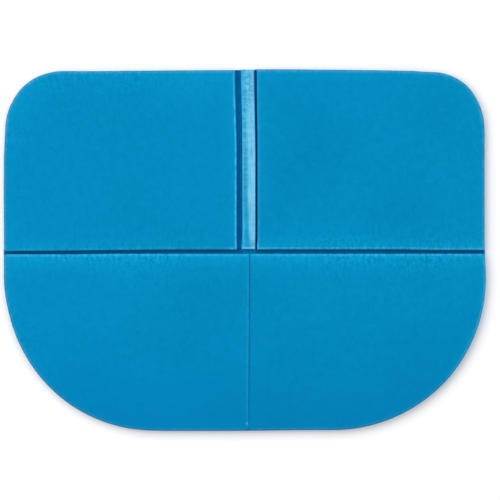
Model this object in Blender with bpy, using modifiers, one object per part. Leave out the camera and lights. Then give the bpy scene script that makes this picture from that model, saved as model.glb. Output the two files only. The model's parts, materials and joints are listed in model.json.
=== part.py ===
"""Folding foam pad: four closed-cell foam panels and a spine strip, joined by thin
pressed hinge webs, lying open on its back face.

Frame: metres, +X across the pad, +Y towards the two small corners, +Z up out of the
face that is sat on.  The origin is under the middle of the pad, on the floor.
"""

import math

import bmesh
import bpy
from mathutils import Matrix, Vector

MM = 0.001

# ------------------------------------------------------------------ driving dimensions
WIDTH = 400.0 * MM            # across, X
DEPTH = 300.0 * MM            # front to back, Y
THICK = 8.0 * MM              # foam sheet

R_UPPER_LEFT = 48.0 * MM      # outline corners, seen from above
R_UPPER_RIGHT = 44.0 * MM
R_LOWER_LEFT = 124.5 * MM
R_LOWER_RIGHT = 126.5 * MM
R_INNER = 0.0                 # panels end square at a groove

GROOVE_Y = -1.3 * MM          # middle of the cross groove
GROOVE_W = 3.5 * MM           # its width
SPINE_LEFT = -2.0 * MM        # spine strip, left and right side
SPINE_RIGHT = 8.5 * MM
UPPER_LEFT_EDGE = -7.0 * MM   # upper panels' edges beside the spine
UPPER_RIGHT_EDGE = 10.5 * MM
CREASE_X = 3.6 * MM           # fold crease of the lower half

GAP = 0.3 * MM                # clearance between neighbouring pieces
SLIT = 0.3 * MM               # width of the slit under the crease
WEB_T = 1.0 * MM              # pressed web thickness
WEB_Z = 0.2 * MM              # a web's underside above the floor
CREASE_WEB_W = 1.8 * MM       # web over the slit, at the top face

RIM_TOP = 1.6 * MM            # rounding of the top rim
RIM_BOTTOM = 1.2 * MM         # rounding of the bottom rim
SHOULDER = 3.6 * MM           # rounding of the slit's lower edges

FOLD_GAP = 0.15 * MM          # a fold axis stands this far off the faces that close
SPINE_PIVOT = 3.2 * MM        # spine turns about a line this far left of and below the crease

ARC_STEP = math.radians(5.0)  # one outline segment on the large corners

# ------------------------------------------------------------------ scene set-up
for old in list(bpy.data.objects):
    bpy.data.objects.remove(old, do_unlink=True)


def make_collection(name):
    col = bpy.data.collections.new(name)
    bpy.context.scene.collection.children.link(col)
    return col


PARTS = make_collection("folding_foam_pad")
CUTTERS = make_collection("cutters")


def make_material(name, colour, roughness):
    mat = bpy.data.materials.new(name)
    mat.use_nodes = True
    bsdf = mat.node_tree.nodes["Principled BSDF"]
    bsdf.inputs["Base Color"].default_value = (*colour, 1.0)
    bsdf.inputs["Roughness"].default_value = roughness
    bsdf.inputs["Metallic"].default_value = 0.0
    return mat


PANEL_BLUE = (0.001, 0.258, 0.565)
SPINE_BLUE = (0.090, 0.450, 0.710)
WEB_BLUE = (0.001, 0.085, 0.230)


# ------------------------------------------------------------------ shape helpers
def corner(cx, cy, radius, start, end):
    """Points of an arc, both ends included."""
    n = max(3, int(round(abs(end - start) / ARC_STEP)))
    return [
        (cx + radius * math.cos(start + (end - start) * i / n),
         cy + radius * math.sin(start + (end - start) * i / n))
        for i in range(n + 1)
    ]


def rounded_outline(x0, y0, x1, y1, r_ne, r_nw, r_sw, r_se):
    """Rectangle with four corner radii, counter-clockwise; radius 0 is a sharp corner."""
    quarter = math.pi / 2
    pts = []
    for cx, cy, r, a in (
        (x1 - r_ne, y1 - r_ne, r_ne, 0.0),
        (x0 + r_nw, y1 - r_nw, r_nw, quarter),
        (x0 + r_sw, y0 + r_sw, r_sw, 2 * quarter),
        (x1 - r_se, y0 + r_se, r_se, 3 * quarter),
    ):
        if r > 0.0:
            pts += corner(cx, cy, r, a, a + quarter)
        else:
            pts.append((cx, cy))
    return pts


def slab_from_outline(name, pts, z0, z1):
    """Flat outline extruded between two heights, as a closed mesh object."""
    curve = bpy.data.curves.new(name + "_outline", "CURVE")
    curve.dimensions = "2D"
    curve.fill_mode = "BOTH"
    curve.extrude = (z1 - z0) / 2
    spline = curve.splines.new("POLY")
    spline.points.add(len(pts) - 1)
    for point, (x, y) in zip(spline.points, pts):
        point.co = (x, y, 0.0, 1.0)
    spline.use_cyclic_u = True
    source = bpy.data.objects.new(name + "_outline", curve)
    source.location.z = (z0 + z1) / 2
    PARTS.objects.link(source)
    bpy.context.view_layer.update()
    graph = bpy.context.evaluated_depsgraph_get()
    mesh = bpy.data.meshes.new_from_object(source.evaluated_get(graph))
    mesh.name = name
    world = source.matrix_world.copy()
    bpy.data.objects.remove(source, do_unlink=True)

    bm = bmesh.new()
    bm.from_mesh(mesh)
    bmesh.ops.remove_doubles(bm, verts=bm.verts[:], dist=1e-6)
    bm.transform(world)
    bmesh.ops.recalc_face_normals(bm, faces=bm.faces[:])
    for sign in (1, -1):
        bm.normal_update()
        cap = [f for f in bm.faces if f.normal.z * sign > 0.99]
        bmesh.ops.dissolve_faces(bm, faces=cap)
    bm.to_mesh(mesh)
    bm.free()
    ob = bpy.data.objects.new(name, mesh)
    PARTS.objects.link(ob)
    return ob


def weigh_rims(ob, z0, z1, shoulder_x=None):
    """Bevel weights: top rim, bottom rim, and a wide shoulder under the crease."""
    mesh = ob.data
    bm = bmesh.new()
    bm.from_mesh(mesh)
    layer = bm.edges.layers.float.new("bevel_weight_edge")
    for edge in bm.edges:
        a, b = (v.co for v in edge.verts)
        at_crease = shoulder_x is not None and max(abs(a.x - shoulder_x), abs(b.x - shoulder_x)) < 1e-5
        if min(a.z, b.z) > z1 - 1e-5:
            edge[layer] = 0.0 if at_crease else RIM_TOP / SHOULDER
        elif max(a.z, b.z) < z0 + 1e-5:
            edge[layer] = 1.0 if at_crease else RIM_BOTTOM / SHOULDER
    bm.to_mesh(mesh)
    bm.free()
    bevel = ob.modifiers.new("rounded_rims", "BEVEL")
    bevel.limit_method = "WEIGHT"
    bevel.width = SHOULDER
    bevel.segments = 3
    bevel.profile = 0.5


def box(name, lo, hi, collection):
    """Axis-aligned box between two corners, its scale applied."""
    bpy.ops.mesh.primitive_cube_add(size=1.0)
    ob = bpy.context.active_object
    ob.name = name
    ob.data.name = name
    for col in list(ob.users_collection):
        col.objects.unlink(ob)
    collection.objects.link(ob)
    lo, hi = Vector(lo), Vector(hi)
    size = hi - lo
    ob.data.transform(Matrix.Translation((lo + hi) / 2) @ Matrix.Diagonal((*size, 1.0)))
    return ob


def web(name, lo, hi):
    """Thin hinge web with lightly rounded long edges."""
    ob = box(name, lo, hi, PARTS)
    bevel = ob.modifiers.new("soft_edges", "BEVEL")
    bevel.limit_method = "ANGLE"
    bevel.width = 0.25 * MM
    bevel.segments = 1
    return ob


def finish(ob, material):
    ob.data.materials.clear()
    ob.data.materials.append(material)
    ob.data.shade_smooth()
    ob.data.set_sharp_from_angle(angle=math.radians(35.0))


def pivot(name, at, parent=None):
    empty = bpy.data.objects.new(name, None)
    empty.empty_display_size = 0.02
    PARTS.objects.link(empty)
    empty.location = at
    if parent is not None:
        empty.parent = parent
        bpy.context.view_layer.update()
        empty.matrix_parent_inverse = parent.matrix_world.inverted()
    bpy.context.view_layer.update()
    return empty


def hang_on(ob, empty):
    ob.parent = empty
    ob.matrix_parent_inverse = empty.matrix_world.inverted()


# ------------------------------------------------------------------ fold axes
half_w, half_d = WIDTH / 2, DEPTH / 2
upper_y = GROOVE_Y + GROOVE_W / 2     # upper panels begin here
lower_y = GROOVE_Y - GROOVE_W / 2     # lower panels end here
crease_left = CREASE_X - SLIT / 2
crease_right = CREASE_X + SLIT / 2

axis_length = pivot("axis_fold_lengthwise", (CREASE_X, 0.0, THICK + FOLD_GAP))
axis_across_left = pivot("axis_fold_across_left", (0.0, GROOVE_Y, -FOLD_GAP))
axis_across_right = pivot("axis_fold_across_right", (0.0, GROOVE_Y, -FOLD_GAP), axis_length)
axis_spine_turn = pivot(
    "axis_spine_turn", (CREASE_X - SPINE_PIVOT, 0.0, THICK - SPINE_PIVOT))
axis_spine_across = pivot("axis_spine_across", (0.0, GROOVE_Y, -FOLD_GAP), axis_spine_turn)

# ------------------------------------------------------------------ panels
lower_left = slab_from_outline(
    "panel_lower_left",
    rounded_outline(-half_w, -half_d, crease_left, lower_y, 0.0, R_INNER, R_LOWER_LEFT, 0.0),
    0.0, THICK)
weigh_rims(lower_left, 0.0, THICK, crease_left)

lower_right = slab_from_outline(
    "panel_lower_right",
    rounded_outline(crease_right, -half_d, half_w, lower_y, R_INNER, 0.0, 0.0, R_LOWER_RIGHT),
    0.0, THICK)
weigh_rims(lower_right, 0.0, THICK, crease_right)

upper_left = slab_from_outline(
    "panel_upper_left",
    rounded_outline(-half_w, upper_y, UPPER_LEFT_EDGE, half_d, R_INNER, R_UPPER_LEFT, R_INNER, R_INNER),
    0.0, THICK)
weigh_rims(upper_left, 0.0, THICK)

upper_right = slab_from_outline(
    "panel_upper_right",
    rounded_outline(UPPER_RIGHT_EDGE, upper_y, half_w, half_d, R_UPPER_RIGHT, R_INNER, R_INNER, R_INNER),
    0.0, THICK)
weigh_rims(upper_right, 0.0, THICK)

spine = slab_from_outline(
    "spine_strip",
    rounded_outline(SPINE_LEFT, upper_y, SPINE_RIGHT, half_d, R_INNER, R_INNER, R_INNER, R_INNER),
    0.0, THICK)
weigh_rims(spine, 0.0, THICK)

# Recess along the crease that takes the web over the slit.
recess = box(
    "crease_recess",
    (CREASE_X - CREASE_WEB_W / 2 - GAP, -half_d - 5 * MM, THICK - WEB_T - 2 * GAP),
    (CREASE_X + CREASE_WEB_W / 2 + GAP, lower_y + 5 * MM, THICK + 5 * MM),
    CUTTERS)
recess.hide_render = True
recess.display_type = "WIRE"
for panel in (lower_left, lower_right):
    cut = panel.modifiers.new("crease_recess", "BOOLEAN")
    cut.operation = "DIFFERENCE"
    cut.solver = "EXACT"
    cut.object = recess

# ------------------------------------------------------------------ hinge webs
web_lo, web_hi = WEB_Z, WEB_Z + WEB_T
cross_y0, cross_y1 = lower_y + GAP, upper_y - GAP
end_in = 0.3 * MM                      # webs stop just short of the pad's outer edges

cross_left = web(
    "hinge_web_cross_left",
    (-half_w + end_in, cross_y0, web_lo), (SPINE_LEFT - GAP, cross_y1, web_hi))
cross_right = web(
    "hinge_web_cross_right",
    (SPINE_RIGHT + GAP, cross_y0, web_lo), (half_w - end_in, cross_y1, web_hi))
cross_centre = web(
    "hinge_web_cross_centre",
    (SPINE_LEFT, cross_y0, web_lo), (SPINE_RIGHT, cross_y1, web_hi))
spine_left = web(
    "hinge_web_spine_left",
    (UPPER_LEFT_EDGE + GAP, upper_y + GAP, web_lo), (SPINE_LEFT - GAP, half_d - end_in, web_hi))
spine_right = web(
    "hinge_web_spine_right",
    (SPINE_RIGHT + GAP, upper_y + GAP, web_lo), (UPPER_RIGHT_EDGE - GAP, half_d - end_in, web_hi))
lower_crease = web(
    "hinge_web_lower_crease",
    (CREASE_X - CREASE_WEB_W / 2, -half_d + 3.0 * MM, THICK - WEB_T - GAP),
    (CREASE_X + CREASE_WEB_W / 2, lower_y - 2.5 * MM, THICK - GAP))

# ------------------------------------------------------------------ finish and hang
for ob in (lower_left, lower_right, upper_left, upper_right):
    finish(ob, make_material(ob.name + "_foam", PANEL_BLUE, 0.62))
finish(spine, make_material("spine_strip_foam", SPINE_BLUE, 0.42))
for ob in (cross_left, cross_right, cross_centre, spine_left, spine_right):
    finish(ob, make_material(ob.name + "_pressed", WEB_BLUE, 0.50))
finish(lower_crease, make_material("hinge_web_lower_crease_skin", PANEL_BLUE, 0.60))

hang_on(upper_left, axis_across_left)
hang_on(spine_left, axis_across_left)
hang_on(lower_right, axis_length)
hang_on(cross_right, axis_length)
hang_on(upper_right, axis_across_right)
hang_on(spine_right, axis_across_right)
hang_on(cross_centre, axis_spine_turn)
hang_on(spine, axis_spine_across)
bpy.context.view_layer.update()
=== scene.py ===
"""Looks of the folding foam pad: pressed foam panels, spine strip and hinge webs."""

import json
import math

import bmesh
import bpy
import numpy as np
from mathutils import Vector, geometry, noise
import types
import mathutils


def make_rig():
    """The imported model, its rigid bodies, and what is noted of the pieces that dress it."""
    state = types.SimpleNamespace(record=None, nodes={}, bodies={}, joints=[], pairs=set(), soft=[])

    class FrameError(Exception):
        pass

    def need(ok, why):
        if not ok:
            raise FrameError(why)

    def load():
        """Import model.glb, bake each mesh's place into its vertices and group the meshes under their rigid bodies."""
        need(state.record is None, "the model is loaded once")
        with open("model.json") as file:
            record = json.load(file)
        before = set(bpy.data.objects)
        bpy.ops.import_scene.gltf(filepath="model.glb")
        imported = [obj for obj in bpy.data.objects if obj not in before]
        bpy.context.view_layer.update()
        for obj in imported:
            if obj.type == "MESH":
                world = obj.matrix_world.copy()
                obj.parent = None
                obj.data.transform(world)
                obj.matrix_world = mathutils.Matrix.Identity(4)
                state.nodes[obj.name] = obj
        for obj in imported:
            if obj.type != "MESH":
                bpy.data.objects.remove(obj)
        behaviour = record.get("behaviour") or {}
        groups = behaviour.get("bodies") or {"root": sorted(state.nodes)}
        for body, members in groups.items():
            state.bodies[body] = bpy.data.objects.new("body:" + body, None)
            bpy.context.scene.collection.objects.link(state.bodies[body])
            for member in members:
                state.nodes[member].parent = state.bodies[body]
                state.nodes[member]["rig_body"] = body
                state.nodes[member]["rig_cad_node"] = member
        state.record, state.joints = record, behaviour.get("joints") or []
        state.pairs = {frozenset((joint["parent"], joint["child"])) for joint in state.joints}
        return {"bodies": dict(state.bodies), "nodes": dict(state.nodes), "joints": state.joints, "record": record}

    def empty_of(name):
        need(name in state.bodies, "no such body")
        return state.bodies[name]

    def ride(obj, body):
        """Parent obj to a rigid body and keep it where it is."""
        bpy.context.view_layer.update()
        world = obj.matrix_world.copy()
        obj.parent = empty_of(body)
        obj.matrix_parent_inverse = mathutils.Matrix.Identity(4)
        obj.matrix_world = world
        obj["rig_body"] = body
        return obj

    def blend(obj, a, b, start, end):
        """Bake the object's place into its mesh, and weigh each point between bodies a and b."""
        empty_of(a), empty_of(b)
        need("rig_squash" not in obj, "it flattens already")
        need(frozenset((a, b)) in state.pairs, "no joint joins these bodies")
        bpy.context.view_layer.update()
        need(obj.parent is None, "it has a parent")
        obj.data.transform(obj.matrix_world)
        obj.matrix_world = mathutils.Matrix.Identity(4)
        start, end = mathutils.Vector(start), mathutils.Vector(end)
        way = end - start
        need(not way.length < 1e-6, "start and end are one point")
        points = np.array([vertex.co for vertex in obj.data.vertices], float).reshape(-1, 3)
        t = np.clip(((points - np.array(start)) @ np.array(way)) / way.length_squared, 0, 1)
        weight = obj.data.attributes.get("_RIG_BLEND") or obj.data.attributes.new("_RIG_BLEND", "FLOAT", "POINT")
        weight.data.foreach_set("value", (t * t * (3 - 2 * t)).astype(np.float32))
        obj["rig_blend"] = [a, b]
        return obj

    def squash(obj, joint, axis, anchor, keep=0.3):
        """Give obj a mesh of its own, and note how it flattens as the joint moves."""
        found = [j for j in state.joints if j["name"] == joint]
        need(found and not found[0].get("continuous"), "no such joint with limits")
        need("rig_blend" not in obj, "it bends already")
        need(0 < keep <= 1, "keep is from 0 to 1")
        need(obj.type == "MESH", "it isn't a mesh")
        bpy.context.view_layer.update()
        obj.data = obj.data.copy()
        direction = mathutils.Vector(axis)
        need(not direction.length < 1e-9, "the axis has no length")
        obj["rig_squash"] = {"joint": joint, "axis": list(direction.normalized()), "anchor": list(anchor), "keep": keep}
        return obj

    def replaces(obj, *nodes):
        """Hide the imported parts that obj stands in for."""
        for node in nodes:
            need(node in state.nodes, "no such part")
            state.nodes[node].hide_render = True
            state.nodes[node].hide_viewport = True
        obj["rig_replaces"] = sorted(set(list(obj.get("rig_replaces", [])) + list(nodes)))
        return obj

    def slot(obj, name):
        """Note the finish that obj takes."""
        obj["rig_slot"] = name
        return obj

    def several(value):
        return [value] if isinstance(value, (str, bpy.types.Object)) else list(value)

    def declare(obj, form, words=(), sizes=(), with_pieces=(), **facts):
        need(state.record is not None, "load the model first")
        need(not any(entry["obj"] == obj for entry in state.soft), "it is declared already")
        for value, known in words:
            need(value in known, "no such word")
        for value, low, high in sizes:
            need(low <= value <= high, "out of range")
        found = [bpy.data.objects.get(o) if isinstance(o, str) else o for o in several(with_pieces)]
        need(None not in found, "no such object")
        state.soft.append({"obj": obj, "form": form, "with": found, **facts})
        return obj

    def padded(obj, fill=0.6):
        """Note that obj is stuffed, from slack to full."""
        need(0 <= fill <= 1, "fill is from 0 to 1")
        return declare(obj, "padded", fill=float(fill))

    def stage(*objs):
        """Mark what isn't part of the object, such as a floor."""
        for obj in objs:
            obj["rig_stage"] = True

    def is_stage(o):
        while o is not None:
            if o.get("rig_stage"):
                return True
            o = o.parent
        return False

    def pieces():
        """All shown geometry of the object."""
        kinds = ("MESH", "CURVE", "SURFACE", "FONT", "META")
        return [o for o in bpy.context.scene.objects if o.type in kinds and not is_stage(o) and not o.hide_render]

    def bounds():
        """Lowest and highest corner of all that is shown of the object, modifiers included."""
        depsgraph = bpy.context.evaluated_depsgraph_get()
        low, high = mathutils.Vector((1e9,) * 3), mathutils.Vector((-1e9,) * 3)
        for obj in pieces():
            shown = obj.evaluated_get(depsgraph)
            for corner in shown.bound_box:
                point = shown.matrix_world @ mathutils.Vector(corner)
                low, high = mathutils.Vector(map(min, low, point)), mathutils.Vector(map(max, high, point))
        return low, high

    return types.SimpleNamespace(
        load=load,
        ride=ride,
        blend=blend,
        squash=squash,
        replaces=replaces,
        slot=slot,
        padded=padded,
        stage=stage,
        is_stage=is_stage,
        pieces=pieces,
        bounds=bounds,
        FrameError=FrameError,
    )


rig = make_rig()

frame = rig.load()
cad_lo, cad_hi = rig.bounds()

MM = 0.001

# ------------------------------------------------------------------ dimensions of the pad
HALF_W, HALF_D, THICK = 200 * MM, 150 * MM, 8 * MM
GROOVE_Y, GROOVE_W = -1.3 * MM, 3.5 * MM
UPPER_Y = GROOVE_Y + GROOVE_W / 2
LOWER_Y = GROOVE_Y - GROOVE_W / 2
SPINE_L, SPINE_R = -1.85 * MM, 9.05 * MM
UL_EDGE, UR_EDGE = -6.4 * MM, 10.45 * MM
CREASE_X = 3.6 * MM
SLIT = 0.34 * MM
R_UL, R_UR, R_LL, R_LR = 48 * MM, 43.5 * MM, 124.5 * MM, 126.5 * MM
CREASE_END = -144.2 * MM


def smooth(a, b, x):
    t = np.clip((np.asarray(x, float) - a) / (b - a), 0.0, 1.0)
    return t * t * (3 - 2 * t)


# ------------------------------------------------------------------ outlines
def arc(cx, cy, r, a0, step):
    n = max(5, int(math.ceil((math.pi / 2) * r / step)))
    return [(cx + r * math.cos(a0 + math.pi / 2 * i / n), cy + r * math.sin(a0 + math.pi / 2 * i / n))
            for i in range(n + 1)]


def rounded(x0, y0, x1, y1, ne, nw, sw, se, step=2.2 * MM, small=0.45 * MM):
    q = math.pi / 2
    pts = []
    for cx, cy, r, a in ((x1 - ne, y1 - ne, ne, 0), (x0 + nw, y1 - nw, nw, q),
                         (x0 + sw, y0 + sw, sw, 2 * q), (x1 - se, y0 + se, se, 3 * q)):
        pts += arc(cx, cy, r, a, step if r > 10 * MM else small) if r > 0 else [(cx, cy)]
    out = []
    for i, p in enumerate(pts):
        a, b = np.array(p), np.array(pts[(i + 1) % len(pts)])
        n = max(1, int(math.ceil(np.linalg.norm(b - a) / step)))
        out += [tuple(a + (b - a) * k / n) for k in range(n)]
    return out


def hump(v, lo, rise, fall, hi):
    """Smooth hump: nothing before lo and after hi, full between rise and fall."""
    return float(smooth(lo, rise, v) * (1 - smooth(fall, hi, v)))


def flatter(x, y):
    """Three of the corners are cut a little flatter than true arcs: how far the outline moves in, and which way."""
    if y > 0.06 and x < -0.12:
        cx, cy = -HALF_W + R_UL, HALF_D - R_UL
        inset = 1.3 * hump(y, 0.072, 0.110, 0.124, 0.146) + 0.35 * smooth(0.132, 0.144, y) * smooth(-0.150, -0.165, x)
    elif y > 0.06 and x > 0.12:
        cx, cy = HALF_W - R_UR, HALF_D - R_UR
        inset = 1.35 * hump(y, 0.100, 0.122, 0.129, 0.150) + 0.85 * smooth(0.135, 0.148, y) * smooth(0.138, 0.157, x)
    elif y < -0.02 and x < -0.06:
        cx, cy = -HALF_W + R_LL, -HALF_D + R_LL
        inset = 0.87 * hump(-y, 0.028, 0.055, 0.075, 0.160) * smooth(-0.070, -0.090, x)
    else:
        return 0.0, 0.0
    vx = max(0.0, (x - cx) * (1 if cx > 0 else -1)) * (1 if cx > 0 else -1)
    vy = max(0.0, (y - cy) * (1 if cy > 0 else -1)) * (1 if cy > 0 else -1)
    size = math.hypot(vx, vy) or 1.0
    return -vx / size * float(inset) * MM, -vy / size * float(inset) * MM


def relax(x, y, sag=True):
    """The cut outline isn't quite true: the long edges bow a little and the spine leans at its free end."""
    dx, dy = flatter(x, y)
    if x < -0.15:
        dx -= (0.28 * hump(y, -0.035, -0.022, 0.012, 0.035) + 0.12 * hump(y, 0.012, 0.030, 0.055, 0.072)) * MM
    if x > 0.15:
        dx += 0.15 * MM * hump(y, -0.010, 0.004, 0.098, 0.106)
    if y < -0.12:
        dy -= 0.3 * MM * hump(x, -0.085, -0.060, -0.030, 0.060) * float(smooth(0.140, 0.149, -y))
    if y > 0.06:
        dy -= (0.42 * hump(x, -0.155, -0.125, -0.012, 0.006) - 0.2 * hump(x, 0.0085, 0.0105, 0.040, 0.060)) * MM * float(smooth(0.06, 0.145, y))
    beside_spine = 1 - hump(x, -0.0045, SPINE_L, SPINE_R, 0.0100)
    foot = hump(y, GROOVE_Y, UPPER_Y - 0.1 * MM, UPPER_Y + 0.5 * MM, UPPER_Y + 0.03)
    # the spine and the panel right of it spread a little at the foot, towards the left
    if y > GROOVE_Y:
        flare = float(smooth(GROOVE_Y, UPPER_Y, y)) * (hump(x, -0.0045, -0.0024, -0.0015, 0.002) * 1.2
                                                       + hump(x, 0.0060, 0.0085, 0.00915, 0.0094) * 0.3
                                                       + hump(x, 0.0094, 0.0103, 0.0120, 0.020) * 0.35)
        dx -= flare * MM * math.exp(-max(0.0, y - UPPER_Y) / (10.5 * MM))
    # towards its ends the cross groove sags, and on the left it narrows
    if sag and LOWER_Y - 0.03 < y < UPPER_Y + 0.03:
        over = float(smooth(LOWER_Y, UPPER_Y, y))
        above = 1.33 * max(0.0, (-0.060 - x) / 0.135) + 0.6 * float(smooth(0.125, 0.160, x))
        below = 0.42 * float(smooth(-0.095, -0.150, x))
        dy -= MM * (above * over * (1 - float(smooth(UPPER_Y, UPPER_Y + 0.03, y)))
                    + below * (1 - over) * float(smooth(LOWER_Y - 0.03, LOWER_Y, y)))
    dy -= ((0.30 - 0.15 * float(smooth(-0.007, 0.0106, x))) * beside_spine - 0.2 * (1 - beside_spine)) * MM * foot
    if y > 0:
        bow = 1.2 * ((x - 0.035) / 0.185) ** 2 if x < 0.035 else 1.1 * ((x - 0.035) / 0.105) ** 2
        dy -= min(bow, 1.25) * MM * smooth(0.06, 0.145, y)
    else:
        dy += 0.35 * MM * smooth(0.0, 0.06, x) * smooth(0.10, 0.145, -y)
    dx += smooth(0.10, 0.19, x) * (-0.8 + 1.15 * smooth(-0.006, 0.024, -y)) * MM
    dx += smooth(0.10, 0.19, -x) * (0.1 - 0.4 * smooth(0.0, 0.045, y)) * MM
    lean = smooth(0.075, 0.152, y) * smooth(-0.05, -0.008, x) * (1 - smooth(0.012, 0.05, x))
    dx -= lean * (1.5 - 0.5 * smooth(SPINE_L, SPINE_R, x) - 0.4 * smooth(SPINE_R, UR_EDGE, x)) * MM
    if y < 0:
        beside = 1 - smooth(0.0, 0.03, abs(x - CREASE_X))
        dx -= (0.64 * smooth(0.03, 0.14, -y) - 0.15) * MM * beside
        closing = smooth(-CREASE_END - 0.0015, -CREASE_END + 0.0012, -y) * (1 - smooth(0.0, 0.004, abs(x - CREASE_X)))
        dx += (0.47 * SLIT) * closing * (1 if x < CREASE_X else -1)
    return x + float(dx), y + float(dy)


# ------------------------------------------------------------------ mesh helpers
def seg_dist(p, a, b):
    """Distance from points p to the nearest of the segments a-b."""
    best = np.full(len(p), 1e9)
    for s, e in zip(a, b):
        d = e - s
        t = np.clip(((p - s) @ d) / max(d @ d, 1e-18), 0, 1)
        best = np.minimum(best, np.linalg.norm(p - (s + t[:, None] * d), axis=1))
    return best


def lattice(loop, spacing, margin):
    """Triangular grid of points inside a closed loop, off its edge."""
    lo, hi = loop.min(0), loop.max(0)
    pts, row, y = [], 0, lo[1] + margin
    while y < hi[1] - margin * 0.5:
        xs = np.arange(lo[0] + margin + (spacing / 2 if row % 2 else 0), hi[0] - margin * 0.5, spacing)
        pts += [(x, y) for x in xs]
        y += spacing * 0.866
        row += 1
    p = np.array(pts)
    a, b = loop, np.roll(loop, -1, axis=0)
    inside = np.zeros(len(p), bool)
    for s, e in zip(a, b):
        cross = (s[1] > p[:, 1]) != (e[1] > p[:, 1])
        with np.errstate(divide="ignore", invalid="ignore"):
            xi = s[0] + (p[:, 1] - s[1]) * (e[0] - s[0]) / (e[1] - s[1])
        inside ^= cross & (p[:, 0] < xi)
    p = p[inside]
    return p[seg_dist(p, a, b) > margin]


def refill_cap(bm, face, spacing, margin, rings=()):
    """Replaces a flat many-sided face by an even net of triangles."""
    verts = list(face.verts)
    up = face.normal.z > 0
    z = verts[0].co.z
    loop = np.array([(v.co.x, v.co.y) for v in verts])
    grid = lattice(loop, spacing, margin + (rings[-1] if rings else 0.0))
    ahead, back = np.roll(loop, -1, axis=0), np.roll(loop, 1, axis=0)
    way = ahead - back
    inward = np.stack((-way[:, 1], way[:, 0]), axis=1) / np.linalg.norm(way, axis=1)[:, None] * (1 if up else -1)
    for d in rings:
        ring = loop + inward * d
        grid = np.concatenate((grid, ring[seg_dist(ring, loop, ahead) > 0.93 * d]))
    n = len(verts)
    cos = [Vector(p) for p in loop] + [Vector(p) for p in grid]
    order = list(range(n)) if up else list(range(n))[::-1]
    res = geometry.delaunay_2d_cdt(cos, [], [order], 1, 1e-9, True)
    out_v, _, out_f, orig_v = res[0], res[1], res[2], res[3]
    bmesh.ops.delete(bm, geom=[face], context="FACES_ONLY")
    made = []
    for co, src in zip(out_v, orig_v):
        old = [i for i in src if i < n]
        made.append(verts[old[0]] if old else bm.verts.new((co.x, co.y, z)))
    for f in out_f:
        idx = list(f) if up else list(f)[::-1]
        vs = [made[i] for i in idx]
        if len(set(vs)) == 3:
            try:
                bm.faces.new(vs)
            except ValueError:
                pass


def link(ob):
    bpy.context.scene.collection.objects.link(ob)
    return ob


def corner_of(pts, at):
    """True where the outline turns sharply at this point."""
    i = min(range(len(pts)), key=lambda k: (pts[k][0] - at.x) ** 2 + (pts[k][1] - at.y) ** 2)
    p, q, r = (Vector(pts[(i + k) % len(pts)]) for k in (-1, 0, 1))
    return (q - p).angle(r - q) > math.radians(50)


def pressed_slab(name, pts, rim, spacing):
    """Foam slab with rounded rims; rim(a, b, top) gives the rounding of one rim edge in metres."""
    widest = 3.6 * MM
    mesh = bpy.data.meshes.new(name)
    bm = bmesh.new()
    base = [bm.verts.new((x, y, 0.0)) for x, y in pts]
    bottom = bm.faces.new(base)
    top = bmesh.ops.extrude_face_region(bm, geom=[bottom])["geom"]
    bmesh.ops.translate(bm, verts=[g for g in top if isinstance(g, bmesh.types.BMVert)], vec=(0, 0, THICK))
    bmesh.ops.recalc_face_normals(bm, faces=bm.faces[:])
    layer = bm.edges.layers.float.new("bevel_weight_edge")
    for e in bm.edges:
        a, b = e.verts[0].co, e.verts[1].co
        if abs(a.z - b.z) < 1e-6:
            e[layer] = rim(a, b, a.z > THICK / 2) / widest
        elif corner_of(pts, a):
            e[layer] = 0.45 * MM / widest
    bm.to_mesh(mesh)
    bm.free()
    tmp = link(bpy.data.objects.new(name + "_tmp", mesh))
    bevel = tmp.modifiers.new("rims", "BEVEL")
    bevel.limit_method = "WEIGHT"
    bevel.width = widest
    bevel.segments = 6
    bevel.profile = 0.5
    bpy.context.view_layer.update()
    final = bpy.data.meshes.new_from_object(tmp.evaluated_get(bpy.context.evaluated_depsgraph_get()))
    bpy.data.objects.remove(tmp, do_unlink=True)
    bm = bmesh.new()
    bm.from_mesh(final)
    bm.normal_update()
    for sign, gap in ((1, spacing), (-1, 7 * MM if spacing > 2 * MM else spacing)):
        face = max((f for f in bm.faces if f.normal.z * sign > 0.99), key=lambda f: f.calc_area())
        wide = spacing > 2 * MM
        rings = (0.45 * MM, 1.0 * MM, 2.0 * MM) if sign > 0 else (0.5 * MM, 1.4 * MM, 4.0 * MM)
        refill_cap(bm, face, gap, gap * 0.55, rings if wide else ())
    bmesh.ops.triangulate(bm, faces=[f for f in bm.faces if len(f.verts) > 4])
    bmesh.ops.recalc_face_normals(bm, faces=bm.faces[:])
    return bm, final


def sides_of(raw, pts, kind):
    """The outline's segments, sorted by what they face."""
    groups = {}
    for i in range(len(raw)):
        j = (i + 1) % len(raw)
        groups.setdefault(kind(raw[i], raw[j]), []).append((np.array(pts[i]), np.array(pts[j])))
    return groups


def edge_distance(xy, groups, names):
    segs = [s for n in names for s in groups.get(n, [])]
    if not segs:
        return np.full(len(xy), 1.0)
    return seg_dist(xy, [s[0] for s in segs], [s[1] for s in segs])


def finish_mesh(bm, mesh, name):
    bm.to_mesh(mesh)
    bm.free()
    mesh.name = name
    mesh.shade_smooth()
    ob = link(bpy.data.objects.new(name, mesh))
    wn = ob.modifiers.new("even_shading", "WEIGHTED_NORMAL")
    wn.mode = "FACE_AREA"
    wn.weight = 60
    wn.keep_sharp = False
    return ob


def add_float(mesh, name, values):
    att = mesh.attributes.new(name, "FLOAT", "POINT")
    att.data.foreach_set("value", np.asarray(values, np.float32))


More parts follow.
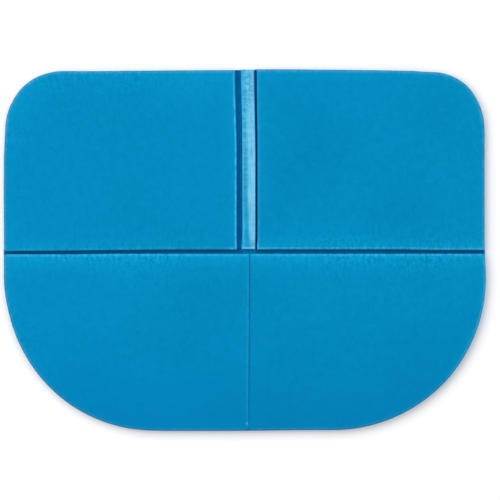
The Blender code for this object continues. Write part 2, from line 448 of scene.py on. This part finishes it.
# ------------------------------------------------------------------ panels
def panel(name, box, radii, tone, crease_x=None, shade=0.0):
    """One foam panel: tone says how much painted sheen lightens the surface towards each kind of edge, and how strong
    the painted highlight on its rim is.
    """
    x0, y0, x1, y1 = box
    raw = rounded(x0, y0, x1, y1, *radii)

    def kind(p, q):
        near = lambda i, v: abs(p[i] - v) < 1e-6 and abs(q[i] - v) < 1e-6
        if crease_x is not None and near(0, crease_x):
            return "crease"
        if near(1, UPPER_Y) or near(1, LOWER_Y):
            return "cross"
        if near(0, UL_EDGE) or near(0, UR_EDGE):
            return "spine"
        return "left" if p[0] < 0 and p[1] < 0.1 and p[1] > -0.1 and abs(p[0]) > 0.15 else (
            "right" if p[0] > 0.15 and -0.1 < p[1] < 0.1 else ("top" if p[1] > 0 else "bottom"))

    pts = [relax(*p) for p in raw]
    groups = sides_of(raw, pts, kind)
    sort = {}
    for k, segs in groups.items():
        for a, b in segs:
            m = (a + b) / 2
            sort[(round(m[0], 6), round(m[1], 6))] = k

    def rim(a, b, top):
        mid = (a + b) / 2
        faces = min(sort, key=lambda c: (c[0] - mid.x) ** 2 + (c[1] - mid.y) ** 2)
        faces = sort[faces]
        if faces == "crease":
            if mid.y < CREASE_END:
                return 0.12 * MM if top else 3.4 * MM
            return 0.55 * MM if top else 3.4 * MM
        groove = faces in ("cross", "spine")
        if top:
            return 1.7 * MM if groove else 1.5 * MM
        return 0.35 * MM if groove else 1.2 * MM

    bm, mesh = pressed_slab(name, pts, rim, 3.2 * MM)
    bm.verts.ensure_lookup_table()
    co = np.array([v.co for v in bm.verts])
    xy = co[:, :2]
    away = {k: edge_distance(xy, groups, [k]) for k in ("cross", "spine", "crease", "left", "right", "top", "bottom")}
    every = np.minimum.reduce([away[k] for k in away if k != "crease"])
    lift = smooth(THICK * 0.55, THICK * 0.95, co[:, 2])
    sink = 0.42 * MM * np.exp(-every / (5.5 * MM)) + 0.05 * MM * np.exp(-away["crease"] / (3 * MM))
    swell = np.array([noise.noise((x * 16, y * 16, 3.1)) * 0.10 + noise.noise((x * 45, y * 45, 7.7)) * 0.035
                      for x, y in xy]) * MM
    for v, s, w, l in zip(bm.verts, sink, swell, lift):
        v.co.z += float((w - s) * l)
    # painted sheen and painted rim highlight: light lightens the surface towards each kind of edge, glint and pale give
    # the rim's highlight and its hue
    light = np.zeros(len(co))
    glint = np.zeros(len(co))
    pale = np.zeros(len(co))
    for k, (amount, reach, shine) in tone.items():
        light = np.maximum(light, amount * np.exp(-away[k] / reach))
        at, wide = {"crease": (0.7, 0.5), "top": (0.95, 1.1)}.get(k, (1.15, 0.7))
        rim_k = shine * np.exp(-((away[k] / MM - at) / wide) ** 2)
        pale = np.where(rim_k > glint, {"spine": 0.0, "crease": 0.0, "cross": 0.45, "bottom": 0.5, "left": 0.6}.get(k, 1.0), pale)
        glint = np.maximum(glint, rim_k)
    # painted highlight, brightest at the two corners beside the spine's foot
    if y0 == UPPER_Y:
        cornered = np.linalg.norm(xy - np.array(relax(x1 if x1 < 0 else x0, y0)), axis=1) / MM
        on_rim = np.exp(-((np.minimum(away["spine"], away["cross"]) / MM - 0.9) / 0.8) ** 2)
        glint = np.maximum(glint, 1.0 * on_rim * np.exp(-(cornered / 7.0) ** 2))
    ob = finish_mesh(bm, mesh, name)
    add_float(mesh, "edge_light", np.clip(light, 0, 1) * (0.35 + 0.65 * lift))
    add_float(mesh, "rim_light", np.clip(glint, 0, 1) * smooth(THICK * 0.7, THICK * 0.9, co[:, 2]))
    add_float(mesh, "rim_pale", pale)
    add_float(mesh, "crease_shade", shade * (1 - smooth(0.3 * MM, 1.7 * MM, away["crease"]))
              * (1 - smooth(-CREASE_END - 0.003, -CREASE_END, -co[:, 1])))
    # painted shade on the outer wall: darkest along the bottom, and the change runs out round the corners
    outer = np.minimum.reduce([away[k] for k in ("left", "right", "top", "bottom")])
    depth, wide, total = np.zeros(len(co)), np.zeros(len(co)), np.full(len(co), 1e-9)
    for k, d, w in (("left", 0.7, 0.8), ("right", 0.15, 0.8), ("top", 0.7, 0.8), ("bottom", 1.0, 1.2)):
        close = np.exp(-away[k] / 0.025)
        depth, wide, total = depth + close * d, wide + close * w, total + close
    wide = np.maximum(wide / total, 0.5) * MM
    painted_wall_shade = depth / total * (1 - smooth(0.2 * wide, wide, outer))
    add_float(mesh, "painted_wall_shade", painted_wall_shade)
    return ob


GAP_L, GAP_R = CREASE_X - SLIT / 2, CREASE_X + SLIT / 2
# towards each kind of edge: how much painted sheen lightens it, over what distance, and how strong the painted
# highlight on the rim is
left_tone = {"cross": (1.0, 9 * MM, 0.28), "left": (0.35, 6 * MM, 0.18), "crease": (0.25, 3 * MM, 0.11), "bottom": (0.0, MM, 0.16)}
right_tone = {"cross": (1.0, 9 * MM, 0.28), "crease": (0.0, MM, 0.0), "right": (0.25, 5 * MM, 0.28), "bottom": (0.0, MM, 0.16)}
upper_left_tone = {"cross": (0.45, 7 * MM, 0.13), "spine": (0.5, 7 * MM, 0.80), "left": (0.24, 10 * MM, 0.18), "top": (0.45, 16 * MM, 0.27)}
upper_right_tone = {"cross": (0.80, 8 * MM, 0.42), "spine": (0.3, 5 * MM, 0.14), "top": (0.30, 9 * MM, 0.30), "right": (0.28, 7 * MM, 0.28)}
panel_ll = panel("foam_panel_lower_left", (-HALF_W, -HALF_D, GAP_L, LOWER_Y), (0, 0, R_LL, 0), left_tone, GAP_L, 0.0)
panel_lr = panel("foam_panel_lower_right", (GAP_R, -HALF_D, HALF_W, LOWER_Y), (0, 0, 0, R_LR), right_tone, GAP_R, 0.55)
panel_ul = panel("foam_panel_upper_left", (-HALF_W, UPPER_Y, UL_EDGE, HALF_D), (0, R_UL, 0, 0), upper_left_tone)
panel_ur = panel("foam_panel_upper_right", (UR_EDGE, UPPER_Y, HALF_W, HALF_D), (R_UR, 0, 0, 0), upper_right_tone)


# ------------------------------------------------------------------ spine strip
def spine():
    raw = rounded(SPINE_L, UPPER_Y, SPINE_R, HALF_D, 0, 0, 0, 0, step=1.6 * MM)
    pts = [relax(*p) for p in raw]

    def rim(a, b, top):
        return 1.1 * MM if top else 0.35 * MM

    bm, mesh = pressed_slab("foam_spine_strip", pts, rim, 1.15 * MM)
    bm.verts.ensure_lookup_table()
    reflecting_facet, glint, cool = [], [], []
    for v in bm.verts:
        x, y, z = v.co
        ax, _ = relax((SPINE_L + SPINE_R) / 2, y)
        u = (x - ax) / MM                                   # millimetres off the strip's middle
        crest = -1.6 + 2.7 * math.exp(-max(y, 0.0) / (20 * MM)) + 0.55 * noise.noise((2.0, y * 42, 0.4))
        w = u - crest
        soft = 1.1
        right = max(0.0, w) if abs(w) > soft else (w + soft) ** 2 / (4 * soft)
        left = right - w
        fall = 0.20 * right + 0.085 * left
        ripple = 0.07 * noise.noise((x * 260, y * 320, 1.3)) + 0.09 * noise.noise((x * 60, y * 90, 5.0))
        ends = 0.5 * math.exp(-(y - UPPER_Y) / (3.5 * MM)) + 0.35 * math.exp(-(HALF_D - y) / (4 * MM))
        top = float(smooth(THICK * 0.6, THICK * 0.97, z))
        v.co.z += (ripple - fall - ends + 0.15) * MM * top
        # weight of the painted reflection, on the facet turned to the right-hand lamp
        reflecting_facet.append(float(smooth(-1.5, 1.9, w)))
        half = (SPINE_R - SPINE_L) / 2 / MM
        low_end = float(smooth(0.075, 0.0, y))
        shine = max((0.04 + 0.24 * low_end) * math.exp(-((u + half - 0.8) / 0.6) ** 2),
                    0.30 * (1 - low_end) * math.exp(-((half - u - 0.9) / 0.8) ** 2),
                    0.65 * math.exp(-(((y - UPPER_Y) / MM - 1.0) / 0.8) ** 2))
        glint.append(shine * top)
        # painted shade: a darker blue tone on the strip's steep side rims, fuller on the right rim
        side = 1.0 if u > 0 else 0.75
        cool.append(float(side * smooth(half - 0.75, half - 0.25, abs(u)) * smooth(THICK * 0.6, THICK * 0.85, z)))
    ob = finish_mesh(bm, mesh, "foam_spine_strip")
    add_float(mesh, "reflecting_facet", reflecting_facet)
    add_float(mesh, "rim_light", glint)
    add_float(mesh, "rim_shade", cool)
    return ob


spine_strip = spine()


# ------------------------------------------------------------------ hinge webs
def web(name, xs, ys, zt, zb):
    """Thin strip from two grids of points: zt(x, y) above, zb(x, y) below; the outline may lean."""
    bm = bmesh.new()
    nx, ny = len(xs), len(ys)
    top = [[bm.verts.new((*relax(x, y, False), zt(x, y))) for y in ys] for x in xs]
    bot = [[bm.verts.new((*relax(x, y, False), zb(x, y))) for y in ys] for x in xs]
    for i in range(nx - 1):
        for j in range(ny - 1):
            bm.faces.new((top[i][j], top[i + 1][j], top[i + 1][j + 1], top[i][j + 1]))
            bm.faces.new((bot[i][j], bot[i][j + 1], bot[i + 1][j + 1], bot[i + 1][j]))
    for i in range(nx - 1):
        bm.faces.new((top[i][0], bot[i][0], bot[i + 1][0], top[i + 1][0]))
        bm.faces.new((top[i][-1], top[i + 1][-1], bot[i + 1][-1], bot[i][-1]))
    for j in range(ny - 1):
        bm.faces.new((top[0][j], top[0][j + 1], bot[0][j + 1], bot[0][j]))
        bm.faces.new((top[-1][j], bot[-1][j], bot[-1][j + 1], top[-1][j + 1]))
    bmesh.ops.recalc_face_normals(bm, faces=bm.faces[:])
    mesh = bpy.data.meshes.new(name)
    bm.to_mesh(mesh)
    bm.free()
    mesh.shade_smooth()
    mesh.set_sharp_from_angle(angle=math.radians(50))
    return link(bpy.data.objects.new(name, mesh))


def across(n, a, b):
    return list(np.linspace(a, b, n))


def cross_floor(x, y):
    v = abs(y - GROOVE_Y) / (GROOVE_W / 2)
    rise = 0.5 * math.exp(-max(0.0, x + HALF_W) / (2.0 * MM)) + 0.5 * math.exp(-max(0.0, HALF_W - x) / (1.2 * MM))
    return (rise + 0.95 + 0.55 * min(v, 1.2) ** 4 + 0.10 * noise.noise((x * 120, y * 200, 2.0))) * MM


def flat_floor(x, y):
    return 0.06 * MM


EMBED = 0.5 * MM
cross_ys = across(16, LOWER_Y - 1.6 * EMBED, UPPER_Y + EMBED)
web_cl = web("pressed_web_cross_left", [-200.7 * MM, -199.6 * MM, -198.8 * MM, -197.8 * MM] + across(118, -196.5 * MM, SPINE_L - 0.12 * MM), cross_ys, cross_floor, flat_floor)
web_cr = web("pressed_web_cross_right", across(114, SPINE_R + 0.12 * MM, 197.5 * MM) + [198.6 * MM, 199.5 * MM, 200.5 * MM], cross_ys, cross_floor, flat_floor)
web_cc = web("pressed_web_cross_centre", across(12, SPINE_L, SPINE_R), across(15, LOWER_Y + 0.05 * MM, UPPER_Y + EMBED),
             cross_floor, flat_floor)


def spine_floor(mid, half):
    def height(x, y):
        v = abs(x - mid) / half
        rise = 1.5 * math.exp(-(HALF_D - y) / (1.2 * MM))
        return (rise + 0.95 + 0.5 * min(v, 1.2) ** 4 + 0.10 * noise.noise((x * 200, y * 120, 4.0))) * MM
    return height


web_sl = web("pressed_web_spine_left", across(9, UL_EDGE - EMBED, SPINE_L - 0.05 * MM), across(88, UPPER_Y + 0.2 * MM, 148.0 * MM) + [148.9 * MM, 149.6 * MM, 150.1 * MM],
             spine_floor((UL_EDGE + SPINE_L) / 2, 2.3 * MM), flat_floor)
web_sr = web("pressed_web_spine_right", across(7, SPINE_R + 0.05 * MM, UR_EDGE + EMBED), across(88, UPPER_Y + 0.2 * MM, 148.0 * MM) + [148.9 * MM, 149.6 * MM, 150.1 * MM],
             spine_floor((UR_EDGE + SPINE_R) / 2, 0.8 * MM), flat_floor)
web_lc = web("crease_skin_lower", across(17, CREASE_X - 1.1 * MM, CREASE_X + 1.1 * MM), across(70, CREASE_END - 0.5 * MM, LOWER_Y - 0.5 * MM),
             lambda x, y: 7.2 * MM, lambda x, y: 6.5 * MM)


# ------------------------------------------------------------------ materials
def lin(r, g, b):
    f = lambda c: c / 12.92 if c <= 0.04045 else ((c + 0.055) / 1.055) ** 2.4
    return tuple(f(v / 255) for v in (r, g, b))


class Nodes:
    def __init__(self, name):
        self.mat = bpy.data.materials.new(name)
        self.mat.use_nodes = True
        self.nt = self.mat.node_tree
        self.bsdf = self.nt.nodes["Principled BSDF"]
        self.coord = self.nt.nodes.new("ShaderNodeTexCoord").outputs["Object"]

    def new(self, kind, **props):
        n = self.nt.nodes.new(kind)
        for k, v in props.items():
            setattr(n, k, v)
        return n

    def join(self, out, socket):
        self.nt.links.new(out, socket)

    def noise(self, scale, detail=2.0, rough=0.5, stretch=None, seed=0.0):
        src = self.coord
        if stretch or seed:
            mp = self.new("ShaderNodeMapping")
            self.join(src, mp.inputs["Vector"])
            mp.inputs["Scale"].default_value = stretch or (1, 1, 1)
            mp.inputs["Location"].default_value = (seed, seed * 0.7, seed * 1.3)
            src = mp.outputs["Vector"]
        n = self.new("ShaderNodeTexNoise")
        self.join(src, n.inputs["Vector"])
        n.inputs["Scale"].default_value = scale
        n.inputs["Detail"].default_value = detail
        n.inputs["Roughness"].default_value = rough
        return n.outputs["Fac"]

    def cells(self, scale):
        n = self.new("ShaderNodeTexVoronoi", feature="SMOOTH_F1")
        self.join(self.coord, n.inputs["Vector"])
        n.inputs["Scale"].default_value = scale
        n.inputs["Smoothness"].default_value = 0.6
        return n.outputs["Distance"]

    def spread(self, value, lo, hi, a=0.0, b=1.0):
        n = self.new("ShaderNodeMapRange")
        self.join(value, n.inputs["Value"])
        n.inputs["From Min"].default_value = lo
        n.inputs["From Max"].default_value = hi
        n.inputs["To Min"].default_value = a
        n.inputs["To Max"].default_value = b
        return n.outputs["Result"]

    def math(self, op, a, b):
        n = self.new("ShaderNodeMath", operation=op)
        for i, v in enumerate((a, b)):
            if isinstance(v, (int, float)):
                n.inputs[i].default_value = v
            else:
                self.join(v, n.inputs[i])
        return n.outputs[0]

    def mix(self, fac, a, b):
        n = self.new("ShaderNodeMix", data_type="RGBA")
        self.join(fac, n.inputs["Factor"])
        for socket, v in (("A", a), ("B", b)):
            target = [s for s in n.inputs if s.name == socket and s.type == "RGBA"][0]
            if isinstance(v, tuple):
                target.default_value = (*v, 1.0)
            else:
                self.join(v, target)
        return [s for s in n.outputs if s.type == "RGBA"][0]

    def attribute(self, name):
        return self.new("ShaderNodeAttribute", attribute_name=name).outputs["Fac"]

    def bump(self, height, strength, distance, normal=None):
        n = self.new("ShaderNodeBump")
        self.join(height, n.inputs["Height"])
        n.inputs["Strength"].default_value = strength
        n.inputs["Distance"].default_value = distance
        if normal is not None:
            self.join(normal, n.inputs["Normal"])
        return n.outputs["Normal"]

    def put(self, **values):
        for k, v in values.items():
            socket = self.bsdf.inputs[k.replace("_", " ")]
            if isinstance(v, bpy.types.NodeSocket):
                self.join(v, socket)
            elif isinstance(v, tuple):
                socket.default_value = (*v, 1.0)
            else:
                socket.default_value = v


def panel_foam():
    m = Nodes("closed_cell_foam")
    fine = m.noise(520, 3.0, 0.62)
    mid = m.noise(150, 2.0, 0.5, seed=3.0)
    broad = m.noise(14, 1.0, 0.5, seed=8.0)
    drawn = m.noise(380, 2.0, 0.5, stretch=(1.0, 0.45, 1.0), seed=5.0)
    tone = m.math("ADD", m.math("MULTIPLY", fine, 0.35), m.math("MULTIPLY", mid, 0.25))
    tone = m.math("ADD", tone, m.math("MULTIPLY", broad, 0.25))
    tone = m.math("ADD", tone, m.math("MULTIPLY", drawn, 0.15))
    base = m.mix(m.spread(tone, 0.36, 0.64), lin(1, 122, 171), lin(2, 134, 184))
    where = m.new("ShaderNodeSeparateXYZ")
    m.join(m.coord, where.inputs[0])
    # painted shade: the panels grow darker towards the bottom edge
    base = m.mix(m.spread(where.outputs["Y"], -0.150, -0.055, 0.55, 0.0), base, lin(0, 116, 171))
    patch = m.spread(m.math("ADD", m.math("MULTIPLY", fine, 0.55), m.math("MULTIPLY", drawn, 0.45)), 0.42, 0.58, 0.05, 1.15)
    reach = m.math("ABSOLUTE", where.outputs["X"], 0.0)
    calm = m.math("MULTIPLY", m.spread(reach, 0.015, 0.07, 0.4, 1.0), m.spread(m.noise(22, 1.0, 0.5, seed=12.0), 0.40, 0.60, 0.45, 1.1))
    patch = m.math("ADD", m.math("MULTIPLY", m.math("SUBTRACT", patch, 0.6), calm), 0.6)
    # painted sheen: a lighter band along the grooves and edges, broken up by the mottling
    light = m.math("MULTIPLY", m.attribute("edge_light"), patch)
    base = m.mix(light, base, lin(6, 157, 203))
    glint = m.math("MULTIPLY", m.attribute("rim_light"), m.spread(drawn, 0.38, 0.62, 0.55, 1.25))
    base = m.mix(glint, base, m.mix(m.attribute("rim_pale"), lin(66, 188, 246), lin(92, 176, 208)))
    base = m.mix(m.attribute("crease_shade"), base, lin(0, 100, 160))
    # painted highlight: a small bright spot at the lower end of the crease
    crease_end_glint = m.new("ShaderNodeVectorMath", operation="DISTANCE")
    m.join(m.coord, crease_end_glint.inputs[0])
    crease_end_glint.inputs[1].default_value = (1.85 * MM, CREASE_END, THICK)
    base = m.mix(m.spread(crease_end_glint.outputs["Value"], 0.4 * MM, 1.3 * MM, 0.55, 0.0), base, lin(66, 188, 236))
    # painted shade on the steep outer walls, strongest along the bottom
    base = m.mix(m.math("MULTIPLY", m.attribute("painted_wall_shade"), 0.80), base, lin(4, 84, 120))
    cell = m.cells(1050)
    n1 = m.bump(cell, 0.16, 0.00025)
    n2 = m.bump(mid, 0.10, 0.0006, n1)
    m.put(Base_Color=base, Normal=n2, Roughness=m.spread(fine, 0.3, 0.7, 0.50, 0.66),
          Specular_IOR_Level=0.12, Specular_Tint=lin(70, 190, 255),
          Sheen_Weight=0.08, Sheen_Roughness=0.42, Sheen_Tint=lin(30, 180, 255))
    return m.mat


def spine_foam():
    m = Nodes("glazed_spine_foam")
    fine = m.noise(700, 3.0, 0.6)
    ribs = m.noise(300, 2.0, 0.55, stretch=(0.5, 1.2, 1.0), seed=2.0)
    along = m.noise(900, 1.0, 0.5, stretch=(1.0, 0.06, 1.0), seed=6.0)
    tone = m.math("ADD", m.math("MULTIPLY", fine, 0.45), m.math("MULTIPLY", ribs, 0.55))
    low = m.mix(m.spread(tone, 0.38, 0.62), lin(0, 134, 174), lin(14, 154, 196))
    upper = m.mix(m.spread(tone, 0.38, 0.62), lin(34, 148, 190), lin(62, 172, 210))
    # painted reflection: the lighter, paler tone of the facet turned to the right-hand lamp
    high = m.mix(m.spread(m.math("ADD", m.math("MULTIPLY", tone, 0.5), m.math("MULTIPLY", along, 0.5)), 0.36, 0.64),
                 lin(84, 174, 208), lin(128, 202, 236))
    # painted shade in the fine ribs near the strip's foot
    rib_shade = m.spread(ribs, 0.50, 0.40)
    where = m.new("ShaderNodeSeparateXYZ")
    m.join(m.coord, where.inputs[0])
    low = m.mix(m.spread(where.outputs["Y"], 0.045, 0.095), low, upper)
    low = m.mix(m.spread(where.outputs["Y"], 0.004, 0.034, 0.9, 0.0), low, lin(6, 160, 206))
    foot = m.spread(where.outputs["Y"], 0.002, 0.022, 0.45, 0.18)
    low = m.mix(m.math("MULTIPLY", rib_shade, foot), low, lin(0, 122, 168))
    # painted shade in small wrinkles near the strip's foot
    folds = m.noise(300, 1.0, 0.5, stretch=(0.3, 1.7, 1.0), seed=9.0)
    wrinkle_shade = m.math("MULTIPLY", m.spread(folds, 0.58, 0.34), m.spread(where.outputs["Y"], 0.003, 0.013, 0.60, 0.0))
    # the painted reflection fades in patches towards the strip's far end
    reflection_fade = m.math("MULTIPLY", m.spread(where.outputs["Y"], 0.105, 0.142), m.spread(tone, 0.58, 0.42, 0.25, 1.0))
    high = m.mix(reflection_fade, high, lin(52, 152, 196))
    base = m.mix(m.attribute("reflecting_facet"), low, high)
    base = m.mix(wrinkle_shade, base, lin(0, 108, 156))
    base = m.mix(m.attribute("rim_light"), base, lin(120, 206, 246))
    # painted shade on the strip's steep side rims
    base = m.mix(m.math("MULTIPLY", m.attribute("rim_shade"), 0.85), base, lin(16, 142, 200))
    n1 = m.bump(ribs, 0.16, 0.0005)
    n2 = m.bump(fine, 0.10, 0.0003, n1)
    m.put(Base_Color=base, Normal=n2, Roughness=m.spread(tone, 0.35, 0.65, 0.30, 0.44),
          Specular_IOR_Level=0.20, Specular_Tint=lin(150, 215, 255),
          Sheen_Weight=0.04, Sheen_Roughness=0.4, Sheen_Tint=lin(120, 205, 255))
    return m.mat


def web_foam(name, dark, pale):
    m = Nodes(name)
    fine = m.noise(650, 2.0, 0.6)
    mid = m.noise(90, 2.0, 0.5, seed=4.0)
    base = m.mix(m.spread(m.math("ADD", m.math("MULTIPLY", fine, 0.5), m.math("MULTIPLY", mid, 0.5)), 0.36, 0.64),
                 dark, pale)
    n1 = m.bump(fine, 0.2, 0.0003)
    m.put(Base_Color=base, Normal=n1, Roughness=m.spread(mid, 0.3, 0.7, 0.36, 0.5),
          Specular_IOR_Level=0.12, Specular_Tint=lin(70, 190, 255))
    return m.mat


FOAM, SPINE = panel_foam(), spine_foam()
# painted shade: the webs in the grooves and under the crease are coloured darker than the panels, each groove set on
# its own
WEB = web_foam("groove_shade_web_foam", lin(0, 100, 154), lin(0, 117, 170))
WIDE = web_foam("groove_shade_wide_web_foam", lin(0, 109, 168), lin(0, 127, 185))
NARROW = web_foam("groove_shade_narrow_web_foam", lin(0, 96, 166), lin(0, 112, 186))
CROSSING = web_foam("pressed_crossing_foam", lin(0, 124, 176), lin(0, 150, 202))
CREASE = web_foam("crease_shade_web_foam", lin(0, 108, 178), lin(0, 120, 190))
for ob, mat, slot in (
    (panel_ll, FOAM, "panel_foam"), (panel_lr, FOAM, "panel_foam"), (panel_ul, FOAM, "panel_foam"), (panel_ur, FOAM, "panel_foam"),
    (spine_strip, SPINE, "spine_foam"),
    (web_cl, WEB, "pressed_web"), (web_cr, WEB, "pressed_web"), (web_cc, CROSSING, "pressed_web"),
    (web_sl, WIDE, "pressed_web"), (web_sr, NARROW, "pressed_web"), (web_lc, CREASE, "panel_foam"),
):
    ob.data.materials.clear()
    ob.data.materials.append(mat)
    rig.slot(ob, slot)

# ------------------------------------------------------------------ what carries each piece
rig.ride(panel_ll, "lower_left")
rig.ride(panel_lr, "lower_right")
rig.ride(panel_ul, "upper_left")
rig.ride(panel_ur, "upper_right")
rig.ride(spine_strip, "spine")
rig.ride(web_sl, "upper_left")
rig.ride(web_sr, "upper_right")
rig.blend(web_cl, "lower_left", "upper_left", start=(0, LOWER_Y, 0), end=(0, UPPER_Y, 0))
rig.blend(web_cr, "lower_right", "upper_right", start=(0, LOWER_Y, 0), end=(0, UPPER_Y, 0))
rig.blend(web_cc, "centre_web", "spine", start=(0, LOWER_Y + 0.3 * MM, 0), end=(0, UPPER_Y, 0))
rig.blend(web_lc, "lower_left", "lower_right", start=(CREASE_X - 0.5 * MM, 0, 0), end=(CREASE_X + 0.5 * MM, 0, 0))
for ob, node in (
    (panel_ll, "panel_lower_left"), (panel_lr, "panel_lower_right"), (panel_ul, "panel_upper_left"),
    (panel_ur, "panel_upper_right"), (spine_strip, "spine_strip"), (web_cl, "hinge_web_cross_left"),
    (web_cr, "hinge_web_cross_right"), (web_cc, "hinge_web_cross_centre"), (web_sl, "hinge_web_spine_left"),
    (web_sr, "hinge_web_spine_right"), (web_lc, "hinge_web_lower_crease"),
):
    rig.replaces(ob, node)
for ob in (panel_ll, panel_lr, panel_ul, panel_ur, spine_strip):
    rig.padded(ob, fill=0.95)

# ------------------------------------------------------------------ floor, light and camera
bpy.ops.mesh.primitive_plane_add(size=1.0)
floor = bpy.context.active_object
floor.name = "floor"
for v in floor.data.vertices:
    v.co = Vector((v.co.x * 12, v.co.y * 12, -0.2 * MM))
fm = Nodes("pale_floor")
fm.put(Base_Color=fm.mix(fm.noise(6, 2.0), (0.94, 0.94, 0.94), (0.955, 0.955, 0.955)), Roughness=0.9, Specular_IOR_Level=0.05)
floor.data.materials.append(fm.mat)
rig.stage(floor)
# The floor gives way as the upper half folds in under the lower one, so the folded pad still stands on it.
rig.squash(floor, "fold_across", axis=(0, 0, 1), anchor=(0, 0, -16.0 * MM), keep=0.3)


def area(name, at, target, size, energy, colour=(1, 1, 1)):
    data = bpy.data.lights.new(name, "AREA")
    data.shape = "RECTANGLE"
    data.size, data.size_y = size
    data.energy = energy
    data.color = colour
    ob = link(bpy.data.objects.new(name, data))
    ob.location = at
    ob.rotation_mode = "QUATERNION"
    ob.rotation_quaternion = (Vector(target) - Vector(at)).to_track_quat("-Z", "Y")
    return ob


area("key_softbox", (-1.64, 1.30, 2.15), (0, 0, 0), (2.4, 2.4), 23.0)
area("left_softbox", (-1.64, 0.0, 2.15), (0, 0, 0), (2.4, 2.4), 19.8)
area("top_softbox", (0.0, 1.30, 2.15), (0, 0, 0), (2.4, 2.4), 14.2)
area("right_softbox", (1.10, 0.10, 2.30), (0, 0, 0), (0.6, 2.0), 5.5)

world = bpy.data.worlds.new("studio")
bpy.context.scene.world = world
world.use_nodes = True
world.node_tree.nodes["Background"].inputs["Color"].default_value = (1, 1, 1, 1)
world.node_tree.nodes["Background"].inputs["Strength"].default_value = 0.605

PX = 0.8307 * MM
cam_data = bpy.data.cameras.new("camera")
cam_data.sensor_width = 36.0
cam_data.lens = 180.0
cam = link(bpy.data.objects.new("camera", cam_data))
cam.location = (5.2 * PX, -0.05 * PX, THICK + 500 * PX * cam_data.lens / cam_data.sensor_width)
cam.rotation_euler = (0, 0, 0)
bpy.context.scene.camera = cam
bpy.context.scene.view_settings.view_transform = "Standard"
bpy.context.scene.view_settings.look = "None"

# ------------------------------------------------------------------ sizes and close
vis_lo, vis_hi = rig.bounds()
with open("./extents.json", "w") as out:
    json.dump({"cad": [list(cad_lo), list(cad_hi)], "visual": [list(vis_lo), list(vis_hi)]}, out)
